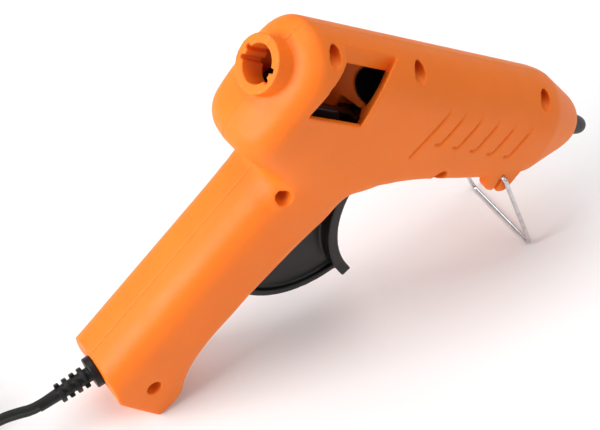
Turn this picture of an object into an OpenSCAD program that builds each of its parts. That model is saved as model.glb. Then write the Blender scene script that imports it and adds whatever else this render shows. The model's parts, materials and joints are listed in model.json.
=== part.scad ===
/* [Barrel] */
// Radius of the barrel's half-round top, which is also half its width
barrel_r = 17; // [16:0.1:18]
// Thickness of the moulded shell walls
wall = 2.2; // [1.8:0.1:2.6]
// Radius of the bore that the glue stick slides through
stick_bore_r = 6.3; // [6.2:0.05:6.6]
// Outer radius of the collar round the stick inlet
collar_r = 9.5; // [9:0.1:10.5]

/* [Handle] */
// Half the width of the handle
handle_half_w = 14.4; // [13:0.1:15]
// Rearward lean of the handle, in millimetres for each millimetre of height
handle_rake = 0.27; // [0.24:0.01:0.3]

/* [Nozzle] */
// Distance from the collar's mouth to the nozzle's tip
tip_x = 162.8; // [161:0.1:166]
// Outer radius of the rubber jacket on the nozzle
jacket_r = 3.7; // [3.6:0.1:4.1]

/* [Stand] */
// Diameter of the stand's steel wire
wire_d = 1.6; // [1.4:0.1:1.8]
// Half the width of the stand, to the middle of its legs
stand_half_w = 17.7; // [17.7:0.1:19]

/* [Trigger] */
// How far the trigger turns, in degrees
trigger_travel = 20; // [16:1:20]
// Half the width of the trigger's finger blade
blade_half_w = 7.5; // [6:0.5:7.6]

/* [Lead] */
// Width of the flat twin lead
cord_w = 4.4; // [4:0.1:5]
// Radius of a mains plug pin
plug_pin_r = 2; // [2:0.1:2.4]

/* [Hidden] */
$fn = 48;
eps = 0.01;
big = 400;

orange = "#f28230";
black = "#222222";
steel = "#c8c8ca";

// The gun is drawn lying level: x runs forward along the barrel from the collar's mouth, y to the left
// and z up from the barrel's axis. Then it is tipped forward to stand on its toe and on the wire stand.

// ---- where the gun touches the table ----
toe = [29.4, -126.6];
sole_rear = [9.8, -122.6];
toe_front = [36.6, -116.4];
stand_pivot = [116, -16.6];
stand_foot = [151, -41.2];
wire_r = wire_d / 2;
foot_reach = norm(stand_foot - toe);
foot_slope = atan2(toe[1] - stand_foot[1], stand_foot[0] - toe[0]);
pitch = -foot_slope - asin(wire_r / foot_reach);
function tipped(p) = [p[0] * cos(pitch) + p[1] * sin(pitch), p[1] * cos(pitch) - p[0] * sin(pitch)];
tip_flat_r = 1.6;
front_edge = tipped([tip_x, tip_flat_r])[0];
rear_edge = tipped([1.2, -114.1])[0];
origin_shift = [-(front_edge + rear_edge) / 2, 0, -tipped(toe)[1]];

module standing() {
  translate(origin_shift) rotate([0, pitch, 0]) children();
}

// ---- lofting ----
function mix(a, b, t) = a + (b - a) * t;
function rounded(v, squareness) = sign(v) * pow(abs(v), 2 / squareness);
function sum_of(list, i = 0) = i == len(list) ? 0 : list[i] + sum_of(list, i + 1);
function middle(ring) = [for (k = [0:2]) sum_of([for (p = ring) p[k]]) / len(ring)];

module loft(rings) {
  n = len(rings[0]);
  m = len(rings);
  points = concat([for (r = rings) each r], [middle(rings[0]), middle(rings[m - 1])]);
  sides = [
    for (i = [0:m - 2]) for (j = [0:n - 1]) each [
      [i * n + j, (i + 1) * n + (j + 1) % n, i * n + (j + 1) % n],
      [i * n + j, (i + 1) * n + j, (i + 1) * n + (j + 1) % n]
    ]
  ];
  start = [for (j = [0:n - 1]) [m * n, j, (j + 1) % n]];
  end = [for (j = [0:n - 1]) [m * n + 1, (m - 1) * n + (j + 1) % n, (m - 1) * n + j]];
  polyhedron(points, concat(sides, start, end));
}

// ---- the outer form ----
ring_points = 36;
// Along the barrel: x, radius, depth below the axis, squareness of the lower half
barrel_shape = [
  [26, barrel_r, 34.8, 6], [40, barrel_r, 36.2, 6.5], [50, barrel_r, 35.9, 6.5], [55, barrel_r, 34.4, 6.5],
  [60, barrel_r, 31.5, 6.5], [65, barrel_r, 29.1, 6.5], [71, barrel_r, 26.9, 6.5], [78, barrel_r, 25.1, 6.5],
  [86, barrel_r, 23.6, 6.5], [98, barrel_r, 21.9, 6.5], [111, barrel_r, 20, 6], [123, barrel_r, 18.1, 4.6],
  [128, barrel_r - 0.4, 17, 3.8], [134, barrel_r - 2.5, 15.2, 3], [140, 12.4, 13.1, 2.5],
  [144.5, 10.8, 11.2, 2.2], [147.4, 9.5, 9.6, 2], [149.8, 7.8, 7.8, 2], [151.2, 5.4, 5.4, 2]
];
rear_round = 4;
rear_steps = 5;
rear_depth = 25.4;
rear_middle = -4;
// How far forward the rear face lies, which leans and is domed
function rear_face(y, z) = 4.4 + 0.165 * z + y * y / 58;
function barrel_point(a, r, depth, square, inset) =
  sin(a) >= 0 ? [(r - inset) * cos(a), (r - inset) * sin(a)]
  : [(r - inset) * rounded(cos(a), square), (depth - inset) * rounded(sin(a), square)];
// One ring on the rear cap and its rounded edge: the barrel's outline, drawn in by a share
function rear_ring(x, share, depth, inset) = [
  for (i = [0:ring_points - 1])
    let (
      p = barrel_point(i * 360 / ring_points, barrel_r, depth, 5, inset),
      y = p[0] * share,
      z = rear_middle + (p[1] - rear_middle) * share
    )
    [x + inset + rear_face(y, z), y, z]
];
function barrel_ring(s, inset) = [
  for (i = [0:ring_points - 1])
    let (p = barrel_point(i * 360 / ring_points, s[1], s[2], s[3], inset))
    [s[0] - (s[0] > 140 ? inset * 0.8 : 0), p[0], p[1]]
];

module barrel_form(inset = 0) {
  loft(concat(
    [rear_ring(0, 0.35, rear_depth, inset)],
    [for (k = [0:rear_steps])
      let (t = 90 * k / rear_steps)
      rear_ring(
        rear_round * (1 - cos(t)), 1 - rear_round * 1.1 / barrel_r * (1 - sin(t)),
        rear_depth + 2.4 * t / 90, inset
      )],
    [for (s = barrel_shape) barrel_ring(s, inset)]
  ));
}

// Down the handle: z, x of its front
handle_front = [
  [-18, 53], [-30, 56], [-36, 56], [-41, 54.6], [-48, 51.7], [-56, 48.2], [-66, 44.3], [-76, 40.6],
  [-84, 38.4], [-91, 36.1], [-97, 34.6], [-103, 34], [-108, 34.2], [-113, 35.4], [-117, 37], [-130, 40.2]
];
handle_rear_r = 15;
neck = [20.2, -39.9];
function handle_rear(z) = neck[0] + (z - neck[1]) * handle_rake;
function handle_ring(s, inset) =
  let (
    z = s[0],
    half_w = handle_half_w + 1.4 * max(0, min(1, (z + 50) / 20)) - inset,
    centre = handle_rear(z) + handle_rear_r
  )
  [
    for (i = [0:ring_points - 1])
      let (a = i * 360 / ring_points, ahead = cos(a) > 0)
      [
        centre + (ahead ? s[1] - centre - inset : handle_rear_r - inset) * rounded(cos(a), ahead ? 4.6 : 3),
        half_w * rounded(sin(a), ahead ? 4.6 : 3),
        z
      ]
  ];
// The handle's end in side view: a slanted heel, a sole and a toe
function handle_end(inset) = [
  [-12, 20], [-12, -102 + 1.35 * inset], sole_rear + [0.4, 1] * inset, toe + [-0.6, 1] * inset,
  toe_front + [0, 0.4] * inset, [70, -60], [70, 20]
];

module handle_form(inset = 0) {
  intersection() {
    loft([for (i = [len(handle_front) - 1:-1:0]) handle_ring(handle_front[i], inset)]);
    rotate([90, 0, 0]) linear_extrude(60, center = true) polygon(handle_end(inset));
  }
}

// ---- screws that join the shells, at [x, z] ----
screw_places = [[16.8, 12.4], [55.7, 12.6], [120, 12.2], [87, -20.2], [27, -37.4], [19.6, -115]];
boss_r = 3.7;
counterbore_r = 2.6;
head_y = -3.2;

module across(place, r, y_from, y_to) {
  translate([place[0], y_to, place[1]]) rotate([90, 0, 0]) cylinder(h = y_to - y_from, r = r);
}

module side_prism(points, y_from, y_to) {
  translate([0, y_to, 0]) rotate([90, 0, 0]) linear_extrude(y_to - y_from) polygon(points);
}

// ---- the stick's window and the V-shaped wall in front of it ----
vee_tip_x = 52.8;
vee_slope = 0.95;
far_vee_slope = 0.5;
vee_bore_r = 6.8;
pocket_top = 9.8;
pocket_y = -8;
window_side = [[22, 24], [21.6, 11.8], [17, 4.2], [13.9, -6.2], [70, -6.2], [70, 24]];
window_plan = [
  [0, -2], [vee_tip_x - 2 * vee_slope, -2], [vee_tip_x - 26 * vee_slope, -26], [0, -26]
];
window_section = [
  [-26, 22], [pocket_y + 1.7, 22], [pocket_y, pocket_top], [0, pocket_top], [0, -20], [-26, -20]
];

vee_foot_y = 7.4;

module vee_plan() {
  polygon([
    [vee_tip_x, 0], [vee_tip_x - 17 * vee_slope, -17], [61, -17], [61, 17], [vee_tip_x - 17 * far_vee_slope, 17]
  ]);
}

module window_cut() {
  intersection() {
    side_prism(window_side, -30, 0);
    translate([0, 0, -30]) linear_extrude(60) polygon(window_plan);
    rotate([90, 0, 90]) linear_extrude(70) polygon(window_section);
  }
}

// The space just inside the barrel's skin, with exact walls
module barrel_core(r) {
  rotate([90, 0, 90]) linear_extrude(140) {
    circle(r, $fn = 96);
    translate([-r, -18.5]) square([2 * r, 18.5]);
  }
}

module vee_wall() {
  difference() {
    intersection() {
      barrel_core(barrel_r - 0.7);
      union() {
        translate([0, 0, -9]) linear_extrude(22.4) vee_plan();
        // its foot reaches lower on each side of the link
        translate([0, 0, -15]) linear_extrude(6.01) difference() {
          vee_plan();
          translate([30, -vee_foot_y]) square([40, 2 * vee_foot_y]);
        }
      }
    }
    translate([30, 0, 0]) rotate([0, 90, 0]) cylinder(h = 40, r = vee_bore_r);
  }
}

// The upright wall that closes the window's pocket above the opening
module pocket_wall() {
  intersection() {
    barrel_core(barrel_r - 0.7);
    translate([15, pocket_y - 1, pocket_top]) cube([33, 3.2, 8]);
  }
}

// ---- grooves moulded in the sides ----
groove_w = 1.05;
groove_depth = 0.95;
short_grooves = 5;
groove_pitch = 8.85;
groove_foot = [76.4, -7.8];
groove_lean = [3.1, 11];
long_groove = [[66, -14.4], [73.6, 8.4]];

module groove(a, b) {
  length = norm(b - a);
  translate([a[0], 0, a[1]]) rotate([0, -atan2(b[1] - a[1], b[0] - a[0]), 0])
    translate([0, -30, -groove_w / 2]) cube([length, 60, groove_w]);
}

module grooves() {
  difference() {
    union() {
      groove(long_groove[0], long_groove[1]);
      for (i = [0:short_grooves - 1]) {
        foot = groove_foot + [groove_pitch * i, -0.08 * i];
        top = foot + groove_lean;
        groove(foot, top);
        groove(top, top + [-0.2, 1.9]);
        groove(foot + [-2.6, -0.3], foot);
      }
    }
    translate([0, -barrel_r + groove_depth, -60]) cube([200, 2 * (barrel_r - groove_depth), 120]);
  }
}

// ---- clips that hold the stand's pivots ----
clip_y = [12.6, 16.4];
pivot_clearance = 0.06;

module pivot_slot(y_from, y_to) {
  across(stand_pivot, wire_r + pivot_clearance, y_from - 1, y_to + 1);
  side_prism([
    [stand_pivot[0] - wire_r * 0.95, stand_pivot[1]], [stand_pivot[0] - wire_r * 1.3, -24],
    [stand_pivot[0] + wire_r * 1.3, -24], [stand_pivot[0] + wire_r * 0.95, stand_pivot[1]]
  ], y_from - 1, y_to + 1);
}

module stand_clip(y_from, y_to) {
  difference() {
    hull() {
      side_prism([[107, -10], [110, -17], [122, -17], [124, -10]], y_from, y_to);
      for (x = [113, 118.4]) across([x, -18.7], 3.6, y_from, y_to);
    }
    pivot_slot(y_from, y_to);
  }
}

// ---- both shells before they are parted ----
collar_root_x = 9;
key_slot_angles = [15.4, 164.6, 195.4, 344.6];
key_slot_r = 7.7;
trigger_slot_half_w = 8.3;
heel_normal = 42;
gland_place = [6.85, -119.2];
gland_r = 2.7;
trigger_pivot = [57, -26.5];
pivot_pin_r = 2;

module bosses() {
  intersection() {
    barrel_core(barrel_r - 0.7);
    for (i = [0:2]) across(screw_places[i], boss_r, -20, 20);
  }
  intersection() {
    across(screw_places[3], boss_r, -12.4, 12.4);
    translate([70, -15, -22.3]) cube([30, 30, 20]);
  }
  intersection() {
    translate([handle_rear(0) + handle_rear_r, 0, 0]) rotate([0, atan(handle_rake), 0])
      translate([0, 0, -123]) cylinder(h = 100, r = handle_half_w - 0.7);
    for (i = [4:5]) across(screw_places[i], boss_r, -20, 20);
  }
}

module ribs() {
  // rails under the feed carriage
  for (side = [-1, 1]) translate([12, side < 0 ? -15.5 : 8, -19.2]) cube([30, 7.5, 2]);
  // seats for the melt chamber's front ring
  difference() {
    translate([129.5, 0, 0]) rotate([0, 90, 0]) cylinder(h = 3.5, r = 14.2);
    translate([129, 0, 0]) rotate([0, 90, 0]) cylinder(h = 5, r = 10.35);
  }
  // bosses for the trigger's pin
  for (side = [-1, 1]) {
    across(trigger_pivot, 4, side < 0 ? -13 : 8.3, side < 0 ? -8.3 : 13);
    translate([trigger_pivot[0] - 4, side < 0 ? -15.6 : 12.9, -26.5]) cube([8, 2.7, 6]);
  }
  // the block that the cord clamp is screwed to, on the left side
  translate([14, 1.5, -105]) cube([14, 11.4, 7]);
}

module gland_axis() {
  translate([gland_place[0], 0, gland_place[1]]) rotate([0, 180 + heel_normal, 0]) children();
}

module trigger_slot() {
  side_prism([[63.5, -22], [40, -22], [40, -60], [28, -72], [28, -84], [63.5, -84]],
    -trigger_slot_half_w, trigger_slot_half_w);
}

module whole_shell() {
  difference() {
    union() {
      difference() {
        union() {
          barrel_form();
          handle_form();
        }
        barrel_form(wall);
        handle_form(wall);
        grooves();
      }
      rotate([0, 90, 0]) cylinder(h = collar_root_x, r = collar_r);
      bosses();
      ribs();
      vee_wall();
      pocket_wall();
      for (y = [clip_y[0], -clip_y[1]]) stand_clip(y, y + clip_y[1] - clip_y[0]);
    }
    translate([-1, 0, 0]) rotate([0, 90, 0]) cylinder(h = 20, r = stick_bore_r);
    for (a = key_slot_angles)
      rotate([-a, 0, 0]) translate([-1, 5, -0.8]) cube([20, key_slot_r - 5, 1.6]);
    for (y = [clip_y[0], -clip_y[1]]) pivot_slot(y, y + clip_y[1] - clip_y[0]);
    // the mouth for the nozzle
    translate([140, 0, 0]) rotate([0, 90, 0]) cylinder(h = 20, r = jacket_r + 0.35);
    // the trigger's slot below the barrel and down the handle's front
    trigger_slot();
    across(trigger_pivot, pivot_pin_r + 0.02, -12, 12);
    // the gland's hole in the heel
    gland_axis() translate([0, 0, -12]) cylinder(h = 20, r = gland_r + 0.3);
  }
}

module right_shell() {
  color(orange) standing() difference() {
    intersection() {
      whole_shell();
      translate([-big / 2, -big, -big / 2]) cube([big, big, big]);
    }
    window_cut();
    for (s = screw_places) {
      across(s, counterbore_r, -30, head_y);
      across(s, 1.7, -30, 1);
    }
  }
}

module left_shell() {
  color(orange) standing() difference() {
    intersection() {
      whole_shell();
      translate([-big / 2, 0, -big / 2]) cube([big, big, big]);
    }
    for (s = screw_places) across(s, 1.25, -1, 9);
    for (x = clamp_screw_x) across([x, clamp_z], 1.1, 1, 8);
  }
}

module shell_screws() {
  color(steel) standing() for (s = screw_places) difference() {
    union() {
      across(s, 2.35, head_y - 1.8, head_y - eps);
      across(s, 1.25, head_y - 1, 8.5);
    }
    // cross recess
    translate([s[0], head_y - 1.9, s[1]]) rotate([0, 45, 0]) {
      cube([2.6, 2, 0.55], center = true);
      cube([0.55, 2, 2.6], center = true);
    }
  }
}

// ---- hot end ----
chamber_r = 8.2;
chamber_x = [70, 138];

module turned(points) {
  rotate([0, 90, 0]) rotate_extrude() polygon([for (p = points) [p[1], p[0]]]);
}

module nozzle() {
  color("#c9a24a") standing() turned([
    [135, 1.5], [135, 3.45], [138.05, 3.45], [138.05, 5.4], [143.5, 5.4], [143.5, 3], [159.8, 2.6],
    [tip_x, 1.5], [tip_x, 0.9], [160, 0.9], [150, 1.5]
  ]);
}

module nozzle_jacket() {
  color(black) standing() turned([
    [146.5, 3.1], [146.5, 3.55], [151.4, jacket_r], [156.7, jacket_r], [159.5, 3.5], [161.4, 3],
    [162.4, 2.25], [tip_x - 0.05, tip_flat_r], [159.9, 2.7]
  ]);
}

module melt_chamber() {
  color("#b9bcc0") standing() difference() {
    union() {
      turned([
        [chamber_x[0], 6], [chamber_x[0], 7.4], [72, chamber_r], [chamber_x[1] - 2, chamber_r],
        [chamber_x[1], 7], [chamber_x[1], 3.5], [135, 3.5], [135, 2], [128, 2], [112, 6]
      ]);
      // flat-sided seat for the heater below the tube
      difference() {
        translate([82, -6.5, -14.6]) cube([40, 13, 8]);
        translate([80, 0, 0]) rotate([0, 90, 0]) cylinder(h = 50, r = 7);
      }
    }
    translate([80, -5.1, -13.4]) cube([44, 10.2, 3]);
  }
}

module heater_element() {
  color("#d9d5cc") standing() translate([88, -4.8, -13.25]) cube([28, 9.6, 2.7]);
}

module heater_clip() {
  color(steel) standing() difference() {
    translate([96, -8, -15.6]) cube([10, 16, 9]);
    translate([95, -6.6, -14.7]) cube([12, 13.2, 9]);
  }
}

module chamber_ring() {
  color("#b5452c") standing() turned([[127.6, 8.25], [127.6, 10.2], [135, 10.2], [135, 8.25]]);
}

// The sleeve fills the V-shaped wall's bore and reaches over the chamber's rear
module inlet_sleeve() {
  color("#2a2a2c") standing() {
    intersection() {
      turned([[30, stick_bore_r], [30, vee_bore_r - 0.03], [62.5, vee_bore_r - 0.03], [62.5, stick_bore_r]]);
      for (x = [0.4, 4])
        translate([x, 0, -20]) linear_extrude(40) vee_plan();
    }
    turned([
      [62, stick_bore_r], [62, 8.9], [63.5, 8.9], [63.5, 8], [69.9, 8], [69.9, 8.9], [76, 8.9], [76, 8.25],
      [70, 8.25], [69.95, stick_bore_r]
    ]);
  }
}

// ---- feed: carriage, gripper and link, drawn with the trigger at rest ----
link_z = -12.2;
arm_reach = link_z - trigger_pivot[1];
arm_lean = trigger_travel / 2;
link_front = [trigger_pivot[0] - arm_reach * tan(arm_lean), link_z];
link_rear = [33, link_z];
gripper_place = [24, -11.2];

module feed_carriage() {
  color(black) standing() difference() {
    union() {
      for (y = [-11.4, 9.4])
        side_prism([[13, -12.6], [19.4, -5], [30.5, -5], [36.6, -12.6], [36.6, -16.9], [13, -16.9]], y, y + 2);
      translate([13, -11, -16.9]) cube([24, 22, 1.6]);
      for (y = [-5.4, 2.6]) translate([29.5, y, -16.5]) cube([7, 2.8, 7.5]);
    }
    across(link_rear, 1.3, -6, 6);
    across(gripper_place, 1.24, -12, 12);
  }
}

module gripper_pin() {
  color(steel) standing() across(gripper_place, 1.2, -11.3, 11.3);
}

module stick_gripper() {
  color("#3a3a3c") standing() difference() {
    union() {
      across(gripper_place, 2.2, -5, 5);
      side_prism([[22, -11.2], [20.6, -7.4], [22, -6.9], [23.4, -7.5], [24.8, -6.9], [26.2, -8], [26, -11.2]], -5, 5);
    }
    across(gripper_place, 1.26, -6, 6);
    translate([14, 0, 0]) rotate([0, 90, 0]) cylinder(h = 20, r = stick_bore_r + 0.2);
  }
}

module drive_link() {
  color("#3a3a3c") standing() difference() {
    union() {
      translate([link_rear[0], -2.2, link_z - 1.8]) cube([link_front[0] - link_rear[0], 4.4, 3.6]);
      across(link_rear, 2.2, -2.2, 2.2);
      across(link_front, 2.6, -4.9, -2.3);
      across(link_front, 2.6, 2.3, 4.9);
      translate([link_front[0] - 7, -4.9, link_z - 1.8]) cube([5, 9.8, 3.6]);
      for (y = [-4.9, 2.3]) translate([link_front[0] - 4, y, link_z - 1.8]) cube([4, 2.6, 3.6]);
    }
    translate([link_front[0] - 4.4, -2.3, link_z - 5]) cube([20, 4.6, 10]);
    across(link_front, 1.26, -6, 6);
    across(link_rear, 1.6, -6, 6);
  }
}

module link_pin() {
  color(steel) standing() across(link_rear, 1.25, -5.3, 5.3);
}

// ---- trigger ----
blade_centre = [96.5, -33.5];
blade_curve_r = 34.8;
blade_thick = 3.8;
blade_angles = [181, 247];
rim_centre = [51, -47];
rim_r = 35.5;
rim_angles = [-97, -34];
web_half_w = 2.6;
rim_half_w = 4.4;
arc_steps = 14;
function arc(c, r, from, to) = [for (i = [0:arc_steps]) let (a = mix(from, to, i / arc_steps)) c + r * [cos(a), sin(a)]];

module bent_plate(centre, r, thick, angles, half_w) {
  translate([centre[0], 0, centre[1]]) rotate([90, 0, 0]) rotate([0, 0, angles[0]])
    rotate_extrude(angle = angles[1] - angles[0], $fn = 96) translate([r, -half_w]) square([thick, 2 * half_w]);
}

module trigger() {
  color(black) standing() difference() {
    union() {
      bent_plate(blade_centre, blade_curve_r, blade_thick, blade_angles, blade_half_w);
      bent_plate(rim_centre, rim_r - 2.4, 2.4, rim_angles, rim_half_w);
      side_prism(concat(
        arc(blade_centre, blade_curve_r + 1, blade_angles[0], blade_angles[1]),
        arc(rim_centre, rim_r - 1, rim_angles[1], rim_angles[0]),
        [[46.6, -70], [51, -50], [52, -27]]
      ), -web_half_w, web_half_w);
      across(trigger_pivot, 4.6, -blade_half_w, blade_half_w);
      // arm up to the link
      side_prism([
        [trigger_pivot[0] - 4.4, trigger_pivot[1]], link_front + [-2.6, 0], link_front + [2.6, 0],
        [trigger_pivot[0] + 4.2, trigger_pivot[1]]
      ], -2, 2);
      across(link_front, 2.6, -2, 2);
      // studs that carry the link
      across(link_front, 1.2, -5, 5);
    }
    across(trigger_pivot, pivot_pin_r + 0.06, -12, 12);
  }
}

module trigger_pin() {
  color(steel) standing() across(trigger_pivot, pivot_pin_r, -11.9, 11.9);
}

// ---- springs and wires as swept tubes ----
function unit(v) = v / norm(v);
function along(path, i) = unit(path[min(i + 1, len(path) - 1)] - path[max(i - 1, 0)]);
function tube_ring(path, i, r, sides, side_axis) =
  let (t = along(path, i), u = unit(cross(side_axis, t)), v = cross(t, u))
  [for (k = [0:sides - 1]) path[i] + r * (cos(360 * k / sides) * u + sin(360 * k / sides) * v)];

module tube(path, r, sides = 8, side_axis = [0, 1, 0]) {
  loft([for (i = [len(path) - 1:-1:0]) tube_ring(path, i, r, sides, side_axis)]);
}

spring_z = -50;
spring_from = 21.6;
spring_to = 50;
spring_r = 3.2;
spring_turns = 8;
spring_steps = 10;

module trigger_spring() {
  color(steel) standing() tube(
    [for (i = [0:spring_turns * spring_steps])
      let (a = 360 * i / spring_steps)
      [
        mix(spring_from, spring_to - 1, i / (spring_turns * spring_steps)),
        spring_r * cos(a),
        spring_z + spring_r * sin(a)
      ]],
    0.45, 5, [1, 0, 0]
  );
}

// ---- wire stand ----
pivot_bend_r = 1.3;
foot_bend_r = 3;
leg = stand_foot - stand_pivot;
leg_length = norm(leg);
leg_angle = atan2(-leg[1], leg[0]);

module wire_elbow(bend_r) {
  rotate_extrude(angle = 90) translate([bend_r, 0]) circle(r = wire_r, $fn = 24);
}

module wire_rod(a, length, axis) {
  translate(a) rotate(axis) cylinder(h = length, r = wire_r, $fn = 24);
}

module half_stand() {
  inner = clip_y[0] - 0.4;
  b = pivot_bend_r;
  f = foot_bend_r;
  wire_rod([0, inner, 0], stand_half_w - b - inner, [-90, 0, 0]);
  translate([b, stand_half_w - b, 0]) rotate([0, 0, 90]) wire_elbow(b);
  wire_rod([b, stand_half_w, 0], leg_length - b - f, [0, 90, 0]);
  translate([leg_length - f, stand_half_w - f, 0]) wire_elbow(f);
  wire_rod([leg_length, 0, 0], stand_half_w - f, [-90, 0, 0]);
}

module wire_stand() {
  color(steel) standing()
    translate([stand_pivot[0], 0, stand_pivot[1]]) rotate([0, leg_angle, 0]) {
      half_stand();
      mirror([0, 1, 0]) half_stand();
    }
}

// ---- wiring inside the handle ----
clamp_z = -101.5;
clamp_screw_x = [16, 26];
cord_thick = 2.7;
tube_r = cord_thick / 2;
core_r = 0.8;
joint_y = [-6.4, -9.8];
joint_r = 1.8;
joint_place = [24, -88];

module cord_clamp() {
  color(black) standing() difference() {
    translate([13.5, -4.4, -104.5]) cube([15, 2.9, 6]);
    for (x = clamp_screw_x) across([x, clamp_z], 1.2, -6, 0);
  }
}

module clamp_screws() {
  color(steel) standing() for (x = clamp_screw_x) {
    across([x, clamp_z], 2, -5.9, -4.4 - eps);
    across([x, clamp_z], 1.05, -4.6, 7);
  }
}

// The lead inside the handle, from the strain relief through the clamp to the joints
inner_cord_end = [23, -2.6, -95];

module rod(a, b, r) {
  d = b - a;
  translate(a) rotate([0, acos(d[2] / norm(d)), atan2(d[1], d[0])]) cylinder(h = norm(d), r = r);
}

module inner_cord() {
  color(black) standing() {
    rod([13.1, 0, -112.2], [21, 0, -101.5], tube_r);
    translate([21, 0, -101.5]) sphere(tube_r + 0.08);
    rod([21, 0, -101.5], inner_cord_end, tube_r);
    for (y = joint_y) rod(inner_cord_end + [0, 0, -0.6], [23.9, y, -88.1], core_r);
  }
}

module wire_joints() {
  color("#e8e4da") standing() for (y = joint_y)
    translate([joint_place[0], y, joint_place[1]]) rotate([0, 15, 0]) cylinder(h = 12, r = joint_r);
}

// A core from its joint in the handle, up past the trigger and under the chamber to the heater
function core_path(y, rise, end_y) = [
  [27.3, y, -75.6], [29, y, -70], [29, y, -62], [31, y - 1, -52], [35 - rise * 0.3, y - 1.6, -40],
  [42 - rise * 0.3, -12, -27 + rise],
  [52, -12, -21.8 + rise], [65, -11.6, -19 + rise], [73, (end_y - 11) / 2, -15.6 + rise / 3],
  [80, end_y, -12.4], [87.8, end_y, -12]
];

module lead_live() {
  color("#7a3b1c") standing() tube(core_path(joint_y[0], 0, -1), core_r, 8);
}

module lead_neutral() {
  color("#2c5c9c") standing() tube(core_path(joint_y[1], 3.6, -3.6), core_r, 8);
}

// ---- strain relief, lead and plug ----
gland_flange_r = 5.5;
fins = 4;
fin_pitch = 2.9;
sleeve_end = 22.6;

module strain_relief() {
  color(black) standing() gland_axis() difference() {
    union() {
      translate([0, 0, -9]) cylinder(h = 12, r = gland_r);
      translate([0, 0, -5.4]) cylinder(h = 2, r = 4.4);
      translate([0, 0, 0.2]) cylinder(h = 2.9, r = gland_flange_r);
      translate([0, 0, 3]) cylinder(h = sleeve_end - 3, r1 = 2.6, r2 = 1.9);
      for (i = [0:fins - 1]) translate([0, 0, 5.4 + fin_pitch * i]) cylinder(h = 1.5, r = 3.7 - 0.12 * i);
    }
    translate([0, 0, -20]) cylinder(h = 20 + sleeve_end + 1, r = 1.45);
  }
}

// The lead's route from the strain relief to the hank, as the gun stands on the table
cord_route = [
  [-121, 0.3, 13.7], [-126, 0.9, 14], [-131, 1.4, 14.3], [-136, 1.2, 14.1], [-141, -0.4, 12.8],
  [-146, -3.4, 10.6], [-151, -7.2, 8], [-156, -10.8, 5.6], [-162, -13.6, 3.8], [-168, -14.4, 3],
  [-174, -13.6, 2.9]
];
hank_middle = [-189, 6];
hank_run = 58;
hank_bend_r = 16;
hank_columns = 3;
hank_half_w = hank_columns * (cord_thick + 0.1) / 2;
hank_floor = 0.6;
hank_height = 2 * cord_w;

module racetrack(r) {
  for (side = [-1, 1]) translate([side * hank_run / 2, 0]) circle(r, $fn = 64);
  square([hank_run, 2 * r], center = true);
}

module power_cord() {
  color(black) tube(cord_route, tube_r, 8);
}

module cord_coil() {
  color(black) translate([hank_middle[0], hank_middle[1], hank_floor]) linear_extrude(hank_height) difference() {
    racetrack(hank_bend_r + hank_half_w);
    racetrack(hank_bend_r - hank_half_w);
  }
}

tie_w = 5;
tie_thick = 0.5;

module cord_tie() {
  bundle_w = 2 * hank_half_w + 0.04;
  color(black) translate([hank_middle[0] - tie_w / 2, hank_middle[1] - hank_bend_r - bundle_w / 2, hank_floor])
    difference() {
      translate([0, -tie_thick, -tie_thick]) cube([tie_w, bundle_w + 2 * tie_thick, hank_height + 2 * tie_thick]);
      translate([-1, 0, -0.02]) cube([tie_w + 2, bundle_w, hank_height + 0.04]);
    }
}

plug_thick = 13.6;
plug_half_w = 12.5;
plug_rear = [-186, 22.6, hank_floor + hank_height + plug_thick / 2 + 0.05];
plug_sleeve = 9;
plug_body_length = 23;
plug_pin_length = 19;
plug_pin_spacing = 18.6;
pin_root_r = plug_pin_r - 0.3;

// The plug lies on the hank, with its pins pointing forward
module plug_body() {
  color(black) translate(plug_rear) {
    difference() {
      union() {
        rotate([0, 90, 0]) cylinder(h = plug_sleeve + 2, r1 = 2.9, r2 = 4.6);
        translate([plug_sleeve, 0, -plug_thick / 2]) linear_extrude(plug_thick) polygon([
          [0, -5.4], [3, -8.4], [6, -8.8], [13, -plug_half_w + 1.2], [plug_body_length, -plug_half_w],
          [plug_body_length, plug_half_w], [13, plug_half_w - 1.2], [6, 8.8], [3, 8.4], [0, 5.4]
        ]);
      }
      translate([-1, 0, 0]) rotate([0, 90, 0]) cylinder(h = plug_sleeve, r = tube_r + 0.05);
      for (y = [-0.5, 0.5] * plug_pin_spacing) translate([plug_sleeve + plug_body_length - 8, y, 0])
        rotate([0, 90, 0]) cylinder(h = 10, r = pin_root_r + eps);
    }
  }
}

module plug_pins() {
  color(steel) translate(plug_rear + [plug_sleeve + plug_body_length, 0, 0])
    for (y = [-0.5, 0.5] * plug_pin_spacing) translate([0, y, 0]) rotate([0, 90, 0]) {
      translate([0, 0, -7.5]) cylinder(h = 8, r = pin_root_r);
      translate([0, 0, eps]) cylinder(h = plug_pin_length - 1 - eps, r = plug_pin_r);
      translate([0, 0, plug_pin_length - 1]) cylinder(h = 1, r1 = plug_pin_r, r2 = plug_pin_r - 1);
    }
}

right_shell();
left_shell();
shell_screws();
nozzle();
nozzle_jacket();
melt_chamber();
heater_element();
heater_clip();
chamber_ring();
inlet_sleeve();
feed_carriage();
stick_gripper();
gripper_pin();
drive_link();
link_pin();
trigger();
trigger_pin();
trigger_spring();
wire_stand();
cord_clamp();
clamp_screws();
wire_joints();
lead_live();
lead_neutral();
strain_relief();
inner_cord();
power_cord();
cord_coil();
cord_tie();
plug_body();
plug_pins();
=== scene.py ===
import json
import math

import bmesh
import bpy
import numpy as np
from mathutils import Matrix, Vector
from mathutils.kdtree import KDTree


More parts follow.
